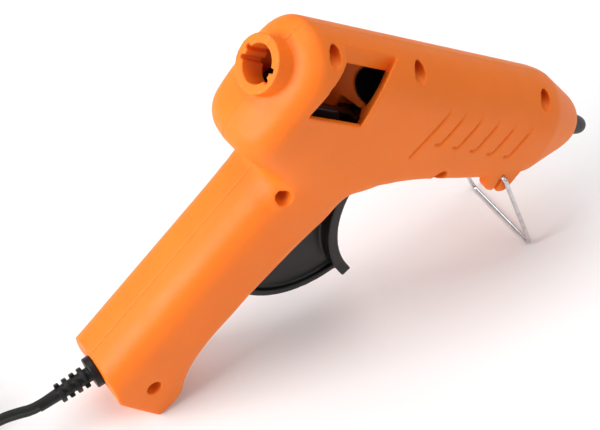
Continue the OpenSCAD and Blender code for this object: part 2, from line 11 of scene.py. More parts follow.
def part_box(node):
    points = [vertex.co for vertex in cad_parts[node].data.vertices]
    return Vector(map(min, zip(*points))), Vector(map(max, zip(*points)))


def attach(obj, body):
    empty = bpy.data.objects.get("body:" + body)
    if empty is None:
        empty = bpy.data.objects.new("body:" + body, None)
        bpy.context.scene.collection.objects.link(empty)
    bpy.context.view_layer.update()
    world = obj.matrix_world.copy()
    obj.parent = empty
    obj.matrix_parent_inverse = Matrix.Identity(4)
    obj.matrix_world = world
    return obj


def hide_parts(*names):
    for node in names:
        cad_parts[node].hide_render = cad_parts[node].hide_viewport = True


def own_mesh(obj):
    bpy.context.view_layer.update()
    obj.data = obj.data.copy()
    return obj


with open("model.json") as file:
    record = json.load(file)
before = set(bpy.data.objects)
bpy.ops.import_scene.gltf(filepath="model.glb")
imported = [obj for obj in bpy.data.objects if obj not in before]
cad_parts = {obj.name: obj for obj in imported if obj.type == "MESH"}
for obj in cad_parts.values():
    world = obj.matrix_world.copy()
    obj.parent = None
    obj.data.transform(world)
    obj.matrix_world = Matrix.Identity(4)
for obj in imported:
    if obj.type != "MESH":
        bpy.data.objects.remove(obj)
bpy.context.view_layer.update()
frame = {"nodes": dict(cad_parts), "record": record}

bl_info = {
    "name": "Glue gun",
    "version": (1, 0, 0),
    "blender": (4, 5, 0),
    "location": "3D View > Sidebar > Glue gun",
    "description": "Builds a glue gun's shells, trigger, stand, nozzle, lead and plug on its packed frame",
    "category": "Object",
}

MM = 0.001

# ---- the gun's own directions ----
# The gun stands tipped forward. Its barrel runs along the feed carriage's slide, and the stick inlet's
# mount says where the collar is, so places inside it are given in millimetres along the barrel, to the
# left of it and up from its axis.
JOINTS = {joint["name"]: joint for joint in frame["record"]["behaviour"]["joints"]}
MOUNTS = {mount["name"]: mount for mount in frame["record"]["mounts"]}
BODY_OF = {node: body for body, nodes in frame["record"]["behaviour"]["bodies"].items() for node in nodes}
SLOT_OF = {part["node"]: part["material_slot"] for part in frame["record"]["subparts"]}
FORWARD = Vector(JOINTS["feed_slide"]["axis"]).normalized()
LEFT = Vector((0, 1, 0))
UP = FORWARD.cross(LEFT)
INLET_DEPTH = 4.5
NECK_HEIGHT = -32
SIDE_SCREW = (27, -37.4)
TRIGGER_PIVOT = (57, -26.5)
MOUTH = Vector(MOUNTS["stick_inlet"]["pos_m"]) - FORWARD * INLET_DEPTH * MM


def in_gun(x, y, z):
    return MOUTH + (FORWARD * x + LEFT * y + UP * z) * MM


def gun_turn(x_axis, z_axis):
    """The turn that lays a shape's own x and z along two directions."""
    x_axis, z_axis = x_axis.normalized(), z_axis.normalized()
    return Matrix((x_axis, z_axis.cross(x_axis), z_axis)).transposed().to_4x4()


# ---- colours ----
def from_hex(code):
    """An sRGB colour such as #f5822e, as linear values with full opacity."""
    shades = [int(code[i : i + 2], 16) / 255 for i in (1, 3, 5)]
    return tuple(s / 12.92 if s <= 0.04045 else ((s + 0.055) / 1.055) ** 2.4 for s in shades) + (1.0,)


# ---- the settings a user would change ----
class GlueGunShellSettings(bpy.types.PropertyGroup):
    colour: bpy.props.FloatVectorProperty(
        name="Shell colour", description="Colour of the moulded shells", subtype="COLOR", size=4,
        default=from_hex("#f4791b"), min=0, max=1,
    )
    grid: bpy.props.FloatProperty(
        name="Grid", description="Spacing of the grid that the shells' surface is relaxed on",
        default=0.37 * MM, min=0.3 * MM, max=2 * MM, unit="LENGTH", precision=5,
    )
    relaxing: bpy.props.IntProperty(
        name="Relaxing", description="How many times the smooth faces are relaxed",
        default=40, min=0, max=200,
    )


class GlueGunTriggerSettings(bpy.types.PropertyGroup):
    colour: bpy.props.FloatVectorProperty(
        name="Trigger colour", description="Colour of the trigger and the feed carriage", subtype="COLOR",
        size=4, default=from_hex("#0f0f0f"), min=0, max=1,
    )


class GlueGunStandSettings(bpy.types.PropertyGroup):
    wire: bpy.props.FloatProperty(
        name="Wire", description="Diameter of the stand's wire", default=1.6 * MM, min=1 * MM, max=3 * MM,
        unit="LENGTH", precision=5,
    )
    foot_bend: bpy.props.FloatProperty(
        name="Foot bend", description="Radius of the bends at the stand's foot", default=3 * MM,
        min=1.5 * MM, max=8 * MM, unit="LENGTH", precision=5,
    )


class GlueGunLeadSettings(bpy.types.PropertyGroup):
    width: bpy.props.FloatProperty(
        name="Width", description="Width of the flat twin lead", default=4.4 * MM, min=3 * MM, max=6 * MM,
        unit="LENGTH", precision=5,
    )
    thickness: bpy.props.FloatProperty(
        name="Thickness", description="Thickness of the flat twin lead", default=2.7 * MM, min=2 * MM,
        max=4 * MM, unit="LENGTH", precision=5,
    )


class GlueGunStageSettings(bpy.types.PropertyGroup):
    floor_colour: bpy.props.FloatVectorProperty(
        name="Floor", description="Colour of the floor", subtype="COLOR", size=4,
        default=from_hex("#f7f7f7"), min=0, max=1,
    )
    lens: bpy.props.FloatProperty(
        name="Lens", description="Focal length of the camera in millimetres", default=120.1, min=20, max=300,
    )
    key_power: bpy.props.FloatProperty(
        name="Key light", description="Power of the large light behind the gun, in watts", default=14.0,
        min=0, max=200, unit="POWER",
    )


def settings(group):
    return getattr(bpy.context.scene, "glue_gun_" + group)


# ---- materials ----
def add_node(tree, kind, links=(), **values):
    """Adds a shader node. Values are its properties or inputs, links are (input, source node, output)."""
    node = tree.nodes.new(kind)
    for name, value in values.items():
        if hasattr(node, name):
            setattr(node, name, value)
        else:
            node.inputs[name.replace("_", " ")].default_value = value
    for name, source, output in links:
        tree.links.new(source.outputs[output], node.inputs[name])
    return node


def blank_material(name, **values):
    """A material with one Principled shader, its tree, its shader and its Object coordinates."""
    material = bpy.data.materials.new(name)
    material.use_nodes = True
    tree = material.node_tree
    shader = tree.nodes["Principled BSDF"]
    for key, value in values.items():
        shader.inputs[key.replace("_", " ")].default_value = value
    return material, tree, shader, add_node(tree, "ShaderNodeTexCoord")


def per_metre(size_mm):
    """A texture's scale for a pattern whose features are that many millimetres apart."""
    return 1000 / size_mm


def mottle(tree, shader, place, dark, light, size_mm, detail=3.0):
    """Colour that drifts between two close shades, in patches of that size."""
    patches = add_node(
        tree, "ShaderNodeTexNoise", [("Vector", place, "Object")], Scale=per_metre(size_mm), Detail=detail
    )
    shades = add_node(tree, "ShaderNodeValToRGB", [("Fac", patches, "Fac")])
    shades.color_ramp.elements[0].position = 0.3
    shades.color_ramp.elements[0].color = dark
    shades.color_ramp.elements[1].position = 0.7
    shades.color_ramp.elements[1].color = light
    tree.links.new(shades.outputs["Color"], shader.inputs["Base Color"])
    return patches


def polish(tree, shader, place, smooth, rough, size_mm):
    """Roughness that drifts between two values, as handling and the mould leave it."""
    patches = add_node(
        tree, "ShaderNodeTexNoise", [("Vector", place, "Object")], Scale=per_metre(size_mm), Detail=4.0
    )
    spread = add_node(
        tree, "ShaderNodeMapRange", [("Value", patches, "Fac")],
        From_Min=0.3, From_Max=0.7, To_Min=smooth, To_Max=rough,
    )
    tree.links.new(spread.outputs["Result"], shader.inputs["Roughness"])


def grain(tree, shader, place, size_mm, height_mm, strength=1.0, detail=2.0):
    """Fine relief over the whole surface, such as a mould's spark-eroded grain."""
    relief = add_node(
        tree, "ShaderNodeTexNoise", [("Vector", place, "Object")], Scale=per_metre(size_mm), Detail=detail
    )
    bump = add_node(
        tree, "ShaderNodeBump", [("Height", relief, "Fac")], Strength=strength, Distance=height_mm * MM
    )
    tree.links.new(bump.outputs["Normal"], shader.inputs["Normal"])
    return bump


def shade(colour, factor):
    return tuple(min(1.0, c * factor) for c in colour[:3]) + (1.0,)


def moulded_abs_orange():
    # Injection-moulded ABS, pigmented orange: satin, with light that scatters a little way in
    colour = tuple(settings("shell").colour)
    material, tree, shader, place = blank_material(
        "moulded_abs_orange", IOR=1.53, Specular_IOR_Level=0.28, Subsurface_Weight=0.4,
        Subsurface_Radius=(1.0, 0.24, 0.05), Subsurface_Scale=2.2 * MM,
    )
    mottle(tree, shader, place, shade(colour, 0.965), shade(colour, 1.03), 22)
    polish(tree, shader, place, 0.46, 0.56, 9)
    # the mould's fine grain is finer than this in truth
    grain(tree, shader, place, 0.55, 0.012, 0.55)
    return material


def moulded_nylon_black():
    # Glass-filled nylon, moulded and worn smooth: nearly black, with a soft broad shine
    colour = tuple(settings("trigger").colour)
    material, tree, shader, place = blank_material("moulded_nylon_black", IOR=1.53, Specular_IOR_Level=0.3)
    mottle(tree, shader, place, shade(colour, 0.8), shade(colour, 1.25), 14)
    polish(tree, shader, place, 0.3, 0.42, 6)
    grain(tree, shader, place, 0.7, 0.015, 0.4)
    return material


def silicone_rubber_grey():
    # Dark silicone rubber, moulded: dull, with a faint bloom of dust
    material, tree, shader, place = blank_material("silicone_rubber_grey", IOR=1.41, Sheen_Weight=0.12)
    mottle(tree, shader, place, from_hex("#2b2b2c"), from_hex("#3b3b3c"), 5)
    polish(tree, shader, place, 0.5, 0.64, 3)
    grain(tree, shader, place, 0.4, 0.02, 0.5)
    return material


def extruded_pvc_black():
    # Soft PVC, extruded or moulded on the lead: black, with a waxy shine that drags along it
    material, tree, shader, place = blank_material("extruded_pvc_black", IOR=1.53, Specular_IOR_Level=0.3)
    mottle(tree, shader, place, from_hex("#0b0b0b"), from_hex("#141414"), 8)
    polish(tree, shader, place, 0.36, 0.5, 4)
    grain(tree, shader, place, 0.6, 0.02, 0.45)
    return material


def drawn_steel_wire():
    # Bright nickel-plated spring wire: mirror-like, with faint marks from drawing and handling
    material, tree, shader, place = blank_material("drawn_steel_wire", Metallic=1.0)
    mottle(tree, shader, place, from_hex("#bdbdc0"), from_hex("#dcdcde"), 3)
    polish(tree, shader, place, 0.14, 0.26, 1.5)
    grain(tree, shader, place, 0.5, 0.006, 0.4)
    return material


def zinc_plated_steel():
    # Mild steel with bright zinc: bluish grey, with a fine crystalline unevenness
    material, tree, shader, place = blank_material("zinc_plated_steel", Metallic=1.0)
    mottle(tree, shader, place, from_hex("#9c9ea2"), from_hex("#c6c8cc"), 1.6)
    polish(tree, shader, place, 0.24, 0.4, 1.2)
    grain(tree, shader, place, 0.3, 0.008, 0.4)
    return material


def turned_brass():
    # Free-machining brass, turned: warm, with fine rings and a little heat tint
    material, tree, shader, place = blank_material("turned_brass", Metallic=1.0)
    mottle(tree, shader, place, from_hex("#b08a45"), from_hex("#d8b46a"), 2.5)
    polish(tree, shader, place, 0.2, 0.38, 0.8)
    grain(tree, shader, place, 0.25, 0.01, 0.4)
    return material


def die_cast_aluminium():
    # Die-cast aluminium: pale grey, with a dull skin and flow marks
    material, tree, shader, place = blank_material("die_cast_aluminium", Metallic=1.0)
    mottle(tree, shader, place, from_hex("#a3a5a8"), from_hex("#c9cbce"), 6)
    polish(tree, shader, place, 0.36, 0.56, 2.5)
    grain(tree, shader, place, 0.6, 0.03, 0.6)
    return material


def fired_ceramic():
    # The heater's steatite case: off-white, dry and faintly speckled
    material, tree, shader, place = blank_material("fired_ceramic", IOR=1.6)
    mottle(tree, shader, place, from_hex("#d6d0c2"), from_hex("#ece7db"), 1.2)
    polish(tree, shader, place, 0.6, 0.75, 1.5)
    grain(tree, shader, place, 0.3, 0.015, 0.6)
    return material


def silicone(name, dark, light):
    # Soft moulded silicone: matt and slightly see-through at its edges
    material, tree, shader, place = blank_material(
        name, IOR=1.41, Subsurface_Weight=0.2, Subsurface_Radius=(1.0, 0.5, 0.4), Subsurface_Scale=1.0 * MM
    )
    mottle(tree, shader, place, from_hex(dark), from_hex(light), 4)
    polish(tree, shader, place, 0.45, 0.6, 3)
    grain(tree, shader, place, 0.5, 0.01, 0.4)
    return material


def core_insulation(name, dark, light):
    # Thin PVC or nylon on the cores and their joints: smooth, with a low shine
    material, tree, shader, place = blank_material(name, IOR=1.53)
    mottle(tree, shader, place, from_hex(dark), from_hex(light), 3)
    polish(tree, shader, place, 0.35, 0.5, 2)
    grain(tree, shader, place, 0.4, 0.008, 0.4)
    return material


def painted_floor():
    # A matt white table, with the slightest unevenness
    colour = tuple(settings("stage").floor_colour)
    material, tree, shader, place = blank_material("matt_white_table", Roughness=0.85)
    mottle(tree, shader, place, shade(colour, 0.985), colour, 120)
    return material


def make_materials():
    return {
        "orange_abs": moulded_abs_orange(),
        "black_plastic": moulded_nylon_black(),
        "black_rubber": silicone_rubber_grey(),
        "black_pvc": extruded_pvc_black(),
        "steel_wire": drawn_steel_wire(),
        "zinc_steel": zinc_plated_steel(),
        "brass": turned_brass(),
        "cast_aluminium": die_cast_aluminium(),
        "ceramic": fired_ceramic(),
        "silicone": silicone("silicone_red", "#93301f", "#ab3d27"),
        "sleeve_silicone": silicone("silicone_black", "#141415", "#1d1d1e"),
        "brown_pvc": core_insulation("pvc_core_brown", "#54290f", "#6a3a1a"),
        "blue_pvc": core_insulation("pvc_core_blue", "#1e4680", "#2c5c9c"),
        "white_nylon": core_insulation("nylon_cap_white", "#dcd7cb", "#ece8de"),
    }


materials = {}


def finish_of(slot):
    if not materials:
        materials.update(make_materials())
    return materials[slot]


# ---- making pieces ----
def new_piece(name, bm, slot, body, nodes=()):
    """Turns a bmesh into a smooth-shaded piece that rides on a body and stands for those nodes."""
    mesh = bpy.data.meshes.new(name)
    bm.to_mesh(mesh)
    bm.free()
    return dress(name, mesh, slot, body, nodes)


def dress(name, mesh, slot, body, nodes=()):
    mesh.shade_smooth()
    mesh.materials.clear()
    mesh.materials.append(finish_of(slot))
    piece = bpy.data.objects.new(name, mesh)
    bpy.context.scene.collection.objects.link(piece)
    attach(piece, body)
    if nodes:
        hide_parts(*nodes)
    return piece


def applied(piece):
    """The piece's mesh with its modifiers applied, as a new mesh."""
    depsgraph = bpy.context.evaluated_depsgraph_get()
    return bpy.data.meshes.new_from_object(piece.evaluated_get(depsgraph))


def merged_copy(node):
    """A copy of a node's mesh with its loose triangles joined."""
    bm = bmesh.new()
    bm.from_mesh(frame["nodes"][node].data)
    bmesh.ops.remove_doubles(bm, verts=bm.verts, dist=0.002 * MM)
    mesh = bpy.data.meshes.new(node + "_copy")
    bm.to_mesh(mesh)
    bm.free()
    return mesh


def through(mesh, *modifiers):
    """Runs a mesh through modifiers, each given as its type and its settings."""
    worker = bpy.data.objects.new("worker", mesh)
    bpy.context.scene.collection.objects.link(worker)
    for kind, values in modifiers:
        modifier = worker.modifiers.new(kind, kind)
        for name, value in values.items():
            setattr(modifier, name, value)
    result = applied(worker)
    bpy.data.objects.remove(worker)
    bpy.data.meshes.remove(mesh)
    return result


def vectors_of(collection, field):
    values = np.empty(len(collection) * 3)
    collection.foreach_get(field, values)
    return values.reshape(-1, 3)


def edge_ends(mesh):
    ends = np.empty(len(mesh.edges) * 2, int)
    mesh.edges.foreach_get("vertices", ends)
    return ends.reshape(-1, 2).T


def even_out(points, a, b, weight, rounds):
    """Moves each point towards the middle of its neighbours, by its weight, so many times."""
    ends, others = np.concatenate((a, b)), np.concatenate((b, a))
    neighbours = np.maximum(np.bincount(ends, minlength=len(points)), 1)
    for _ in range(rounds):
        middle = [np.bincount(ends, points[others, k], len(points)) / neighbours for k in range(3)]
        points = points + weight * (np.stack(middle, 1) - points) / 2
    return points


def relax(mesh, rounds, rounding, crease=0.24):
    """Relaxes the smooth faces of an evenly meshed surface, and rounds its edges only a little.
    An edge is where neighbouring normals differ by more than the crease angle."""
    points, normals = vectors_of(mesh.vertices, "co"), vectors_of(mesh.vertex_normals, "vector")
    a, b = edge_ends(mesh)
    sharp = (normals[a] * normals[b]).sum(1) < math.cos(crease)
    held = np.zeros(len(points), bool)
    held[a[sharp]] = True
    held[b[sharp]] = True
    for _ in range(2):
        spread = held.copy()
        spread[a[held[b]]] = True
        spread[b[held[a]]] = True
        held = spread
    points = even_out(points, a, b, (~held)[:, None], rounds)
    points = even_out(points, a, b, 1, rounding)
    mesh.vertices.foreach_set("co", points.ravel())
    mesh.update()


def blend_neck(mesh):
    """Blends the crease where the handle's skin runs into the barrel's into a broad fillet. Only the outer
    skin is evened out, and whatever lies close behind it is carried along."""
    points, normals = vectors_of(mesh.vertices, "co"), vectors_of(mesh.vertex_normals, "vector")
    axes = np.array([FORWARD, LEFT, UP])
    x, y, z = ((points - np.array(MOUTH)) @ axes.T / MM).T
    nx, ny, _ = (normals @ axes.T).T
    middle_x, half_height, fade, seam_reach = 38, 6.5, 5.5, 8
    mating_reach, mating_facing = 3, 0.8
    screw_clear, pivot_clear, clear_fade = 3.4, 4, 2
    slot_half_width, slot_rear = 10.5, 30
    front_end, front_fade = 66, 4
    carried_within = 4.5 * MM
    outer = nx * (x - middle_x) + ny * y > 0
    outer &= ~((np.abs(y) < mating_reach) & (np.abs(ny) > mating_facing))
    zone = np.clip((half_height + fade - np.abs(z - NECK_HEIGHT)) / fade, 0, 1)
    for (hole_x, hole_z), clear in ((SIDE_SCREW, screw_clear), (TRIGGER_PIVOT, pivot_clear)):
        zone *= np.clip((np.hypot(x - hole_x, z - hole_z) - clear) / clear_fade, 0, 1)
    zone *= (np.abs(y) > slot_half_width) | (x < slot_rear)
    zone *= np.clip((front_end - x) / front_fade, 0, 1)
    weight = zone * outer
    a, b = edge_ends(mesh)
    used = (weight[a] > 0) & outer[b] | (weight[b] > 0) & outer[a]
    a, b = a[used], b[used]
    members, indices = np.unique(np.concatenate((a, b)), return_inverse=True)
    a, b = indices[: len(a)], indices[len(a) :]
    rounds = 340
    moved = even_out(points[members], a, b, weight[members, None], rounds) - points[members]
    # the parting edge stays on the middle plane
    moved[:, 1] *= np.clip(np.abs(y[members]) / seam_reach, 0, 1)
    tree = KDTree(len(members))
    for number, member in enumerate(members):
        tree.insert(points[member], number)
    tree.balance()
    for vertex in np.nonzero((zone > 0) & ~outer)[0]:
        _, number, distance = tree.find(points[vertex])
        if distance < carried_within:
            points[vertex] += moved[number]
    points[members] += moved
    mesh.vertices.foreach_set("co", points.ravel())
    mesh.update()


def close_seam(mesh, side):
    """Brings a shell's mating face a hair past the middle, so that only a fine line parts the shells."""
    points = vectors_of(mesh.vertices, "co")
    reach, past = 0.7 * MM, 0.08 * MM
    points[:, 1] += side * past * np.clip(1 - np.abs(points[:, 1]) / reach, 0, 1)
    mesh.vertices.foreach_set("co", points.ravel())
    mesh.update()


def softened(node, grid_mm, rounds=10, rounding=2, triangles=60000, name=None, shaping=()):
    """A moulded or cast piece made from a node's shape: evenly meshed, relaxed, its edges rounded.
    Shaping is further functions that change the mesh."""
    grid = grid_mm * MM * 1.0
    mesh = through(merged_copy(node), ("REMESH", {"mode": "VOXEL", "voxel_size": grid}))
    for change in shaping:
        change(mesh)
    relax(mesh, rounds, rounding)
    faces = sum(len(p.vertices) - 2 for p in mesh.polygons)
    if faces > triangles:
        mesh = through(mesh, ("DECIMATE", {"ratio": triangles / faces}))
    return dress(name or node + "_skin", mesh, SLOT_OF[node], BODY_OF[node], [node])


def turned(profile, place, along, steps=64):
    """A solid turned about a line. The profile is a closed loop of (distance along, radius) in mm."""
    bm = bmesh.new()
    corners = [bm.verts.new((r * MM, 0, x * MM)) for x, r in profile]
    for start, end in zip(corners, corners[1:] + corners[:1]):
        bm.edges.new((start, end))
    bmesh.ops.spin(
        bm, geom=bm.verts[:] + bm.edges[:], cent=(0, 0, 0), axis=(0, 0, 1), angle=math.tau, steps=steps,
        use_merge=True,
    )
    bmesh.ops.remove_doubles(bm, verts=bm.verts, dist=0.001 * MM)
    bmesh.ops.recalc_face_normals(bm, faces=bm.faces)
    side = LEFT if abs(along.dot(LEFT)) < 0.9 else UP
    bm.transform(Matrix.Translation(place) @ gun_turn(side, along))
    return bm


def rounded_profile(points, radius, steps=4):
    """A closed outline with each corner rounded to that radius, or to less where its sides are short."""
    result = []
    count = len(points)
    for i in range(count):
        before, corner, after = (Vector(points[(i + k) % count]) for k in (-1, 0, 1))
        back, on = before - corner, after - corner
        reach = min(radius, back.length * 0.45, on.length * 0.45)
        start, end = corner + back.normalized() * reach, corner + on.normalized() * reach
        for k in range(steps + 1):
            t = k / steps
            result.append(tuple((1 - t) ** 2 * start + 2 * t * (1 - t) * corner + t * t * end))
    return result


def smooth_line(points, step):
    """Points along a smooth curve through the given ones, about that far apart."""
    points = [Vector(p) for p in points]
    padded = [points[0] * 2 - points[1]] + points + [points[-1] * 2 - points[-2]]
    line = []
    for a, b, c, d in zip(padded, padded[1:], padded[2:], padded[3:]):
        count = max(1, round((c - b).length / step))
        for k in range(count):
            t = k / count
            line.append(
                0.5 * (2 * b + (c - a) * t + (2 * a - 5 * b + 4 * c - d) * t * t
                       + (3 * b - a - 3 * c + d) * t**3)
            )
    return line + [points[-1]]


def tube_mesh(name, line, outline, upright=True):
    """A tube along a line, with that outline of (across, up) points as its section."""
    path = bpy.data.curves.new(name + "_path", "CURVE")
    path.dimensions = "3D"
    path.twist_mode = "Z_UP" if upright else "MINIMUM"
    spline = path.splines.new("POLY")
    spline.points.add(len(line) - 1)
    for point, place in zip(spline.points, line):
        point.co = (*place, 1)
    section = bpy.data.curves.new(name + "_section", "CURVE")
    section.dimensions = "2D"
    loop = section.splines.new("POLY")
    loop.points.add(len(outline) - 1)
    for point, (across, up) in zip(loop.points, outline):
        point.co = (across, up, 0, 1)
    loop.use_cyclic_u = True
    section_object = bpy.data.objects.new(name + "_section", section)
    bpy.context.scene.collection.objects.link(section_object)
    path.bevel_mode = "OBJECT"
    path.bevel_object = section_object
    path.use_fill_caps = True
    path_object = bpy.data.objects.new(name + "_path", path)
    bpy.context.scene.collection.objects.link(path_object)
    mesh = applied(path_object)
    mesh.name = name
    bpy.data.objects.remove(path_object)
    bpy.data.objects.remove(section_object)
    bm = bmesh.new()
    bm.from_mesh(mesh)
    bmesh.ops.remove_doubles(bm, verts=bm.verts, dist=0.001 * MM)
    bmesh.ops.recalc_face_normals(bm, faces=bm.faces)
    bm.to_mesh(mesh)
    bm.free()
    return mesh


def circle_outline(radius, count=20):
    return [(radius * math.cos(math.tau * k / count), radius * math.sin(math.tau * k / count))
            for k in range(count)]


def line_length(line):
    return sum((b - a).length for a, b in zip(line, line[1:]))


# ---- the lead's places, in millimetres as the gun stands ----
GLAND_PLACE = (6.85, 0, -119.2)
HEEL_NORMAL = math.radians(42)
SLEEVE_END = 22.6
GLAND_AXIS = -(FORWARD * math.sin(HEEL_NORMAL) + UP * math.cos(HEEL_NORMAL))
LEAD_EXIT = in_gun(*GLAND_PLACE) + GLAND_AXIS * SLEEVE_END * MM
CORD_ROUTE = [
    (-121, 0.3, 13.7), (-126, 0.9, 14), (-131, 1.4, 14.3), (-136, 1.2, 14.1), (-141, -0.4, 12.8),
    (-146, -3.4, 10.6), (-151, -7.2, 8), (-156, -10.8, 5.6), (-162, -13.6, 3.8), (-168, -14.4, 3),
    (-174, -13.6, 2.9),
]
HANK_MIDDLE = (-189, 6)
HANK_RUN = 58
HANK_RADII = (18.8, 16, 13.2)
HANK_LAYERS = (2.85, 7.2)
PLUG_REAR = (-186, 22.6, 16.25)
PLUG_SLEEVE = 9
PLUG_LENGTH = 23
PIN_SPACING = 18.6
PIN_LENGTH = 19


def hank_line():
    """The hank's turns: in by the outer column of the lower layer, out by that of the upper one."""
    turns = [(radius, HANK_LAYERS[0]) for radius in HANK_RADII]
    turns += [(radius, HANK_LAYERS[1]) for radius in reversed(HANK_RADII)]
    middle, half = HANK_MIDDLE, HANK_RUN / 2
    bend_steps = 14
    line = []
    for number, (radius, height) in enumerate(turns):
        last = number == len(turns) - 1
        before, height_before = turns[max(number - 1, 0)]
        # the near run moves over from the column before
        for share in (0.15, 0.5, 0.85):
            r = before + (radius - before) * (share * share * (3 - 2 * share))
            z = height_before + (height - height_before) * (share * share * (3 - 2 * share))
            line.append((middle[0] + half * (1 - 2 * share), middle[1] - r, z))
        for k in range(bend_steps + 1):
            angle = math.pi * k / bend_steps
            lift = 2.2 * (k / bend_steps) ** 2 if last else 0
            line.append((middle[0] - half - radius * math.sin(angle), middle[1] - radius * math.cos(angle),
                         height + lift))
        if last:
            break
        for share in (0.25, 0.75):
            line.append((middle[0] - half + HANK_RUN * share, middle[1] + radius, height))
        for k in range(bend_steps + 1):
            angle = math.pi * k / bend_steps
            line.append((middle[0] + half + radius * math.sin(angle), middle[1] + radius * math.cos(angle),
                         height))
    end = Vector(PLUG_REAR)
    # up the last run in a long low rise into the plug
    line += [tuple(end + Vector(step)) for step in
             ((-24, 1.2, -5.6), (-17, 0.6, -3.6), (-10, 0.1, -1.2), (-4, 0, -0.1), (4, 0, 0))]
    # the first turn starts where the lead arrives, part of the way down the near run
    return line[2:]


def lead_line():
    points = [Vector(p) * MM for p in [*CORD_ROUTE[:-1], *hank_line()]]
    inside = LEAD_EXIT - GLAND_AXIS * 8 * MM
    return smooth_line([inside, *points], 1.6 * MM)


# ---- operators ----
class GLUEGUN_OT_stage(bpy.types.Operator):
    """Add the table, the soft lights and the camera"""

    bl_idname = "gluegun.stage"
    bl_label = "Stage"

    def execute(self, context):
        self.add_table()
        self.add_lights(context)
        self.add_camera(context)
        return {"FINISHED"}

    def add_table(self):
        bm = bmesh.new()
        bmesh.ops.create_grid(bm, x_segments=2, y_segments=2, size=3)
        mesh = bpy.data.meshes.new("table")
        bm.to_mesh(mesh)
        bm.free()
        mesh.materials.append(painted_floor())
        table = bpy.data.objects.new("table", mesh)
        bpy.context.scene.collection.objects.link(table)

    def add_lights(self, context):
        world = bpy.data.worlds.new("soft_room")
        world.use_nodes = True
        world.node_tree.nodes["Background"].inputs["Color"].default_value = from_hex("#fbfcff")
        world.node_tree.nodes["Background"].inputs["Strength"].default_value = 0.34
        context.scene.world = world
        power = settings("stage").key_power
        # name, place, width, share of the key light's power, all aimed at the gun's middle
        lights = [
            ("key_left", (-1.0, 0.06, 0.62), 0.7, 1.0),
            ("overhead", (0.1, 0.35, 1.0), 0.9, 0.36),
            ("fill_front", (0.45, -0.9, 0.9), 0.9, 0.27),
        ]
        for name, place, width, share in lights:
            data = bpy.data.lights.new(name, "AREA")
            data.energy = power * share
            data.size = width
            light = bpy.data.objects.new(name, data)
            light.location = place
            aim = Vector((0, 0, 0.05)) - Vector(place)
            light.rotation_euler = aim.to_track_quat("-Z", "Y").to_euler()
            context.scene.collection.objects.link(light)
        context.scene.view_settings.view_transform = "Standard"

    def add_camera(self, context):
        place = (-0.26274, -0.38723, 0.51790)
        heading, look_down, roll = 57.93, 45.83, -0.23
        data = bpy.data.cameras.new("camera")
        data.lens = settings("stage").lens
        data.sensor_width = 36
        data.clip_start = 0.01
        camera = bpy.data.objects.new("camera", data)
        turn = (
            Matrix.Rotation(math.radians(heading - 90), 4, "Z")
            @ Matrix.Rotation(math.radians(90 - look_down), 4, "X")
            @ Matrix.Rotation(math.radians(roll), 4, "Z")
        )
        camera.matrix_world = Matrix.Translation(place) @ turn
        context.scene.collection.objects.link(camera)
        context.scene.camera = camera


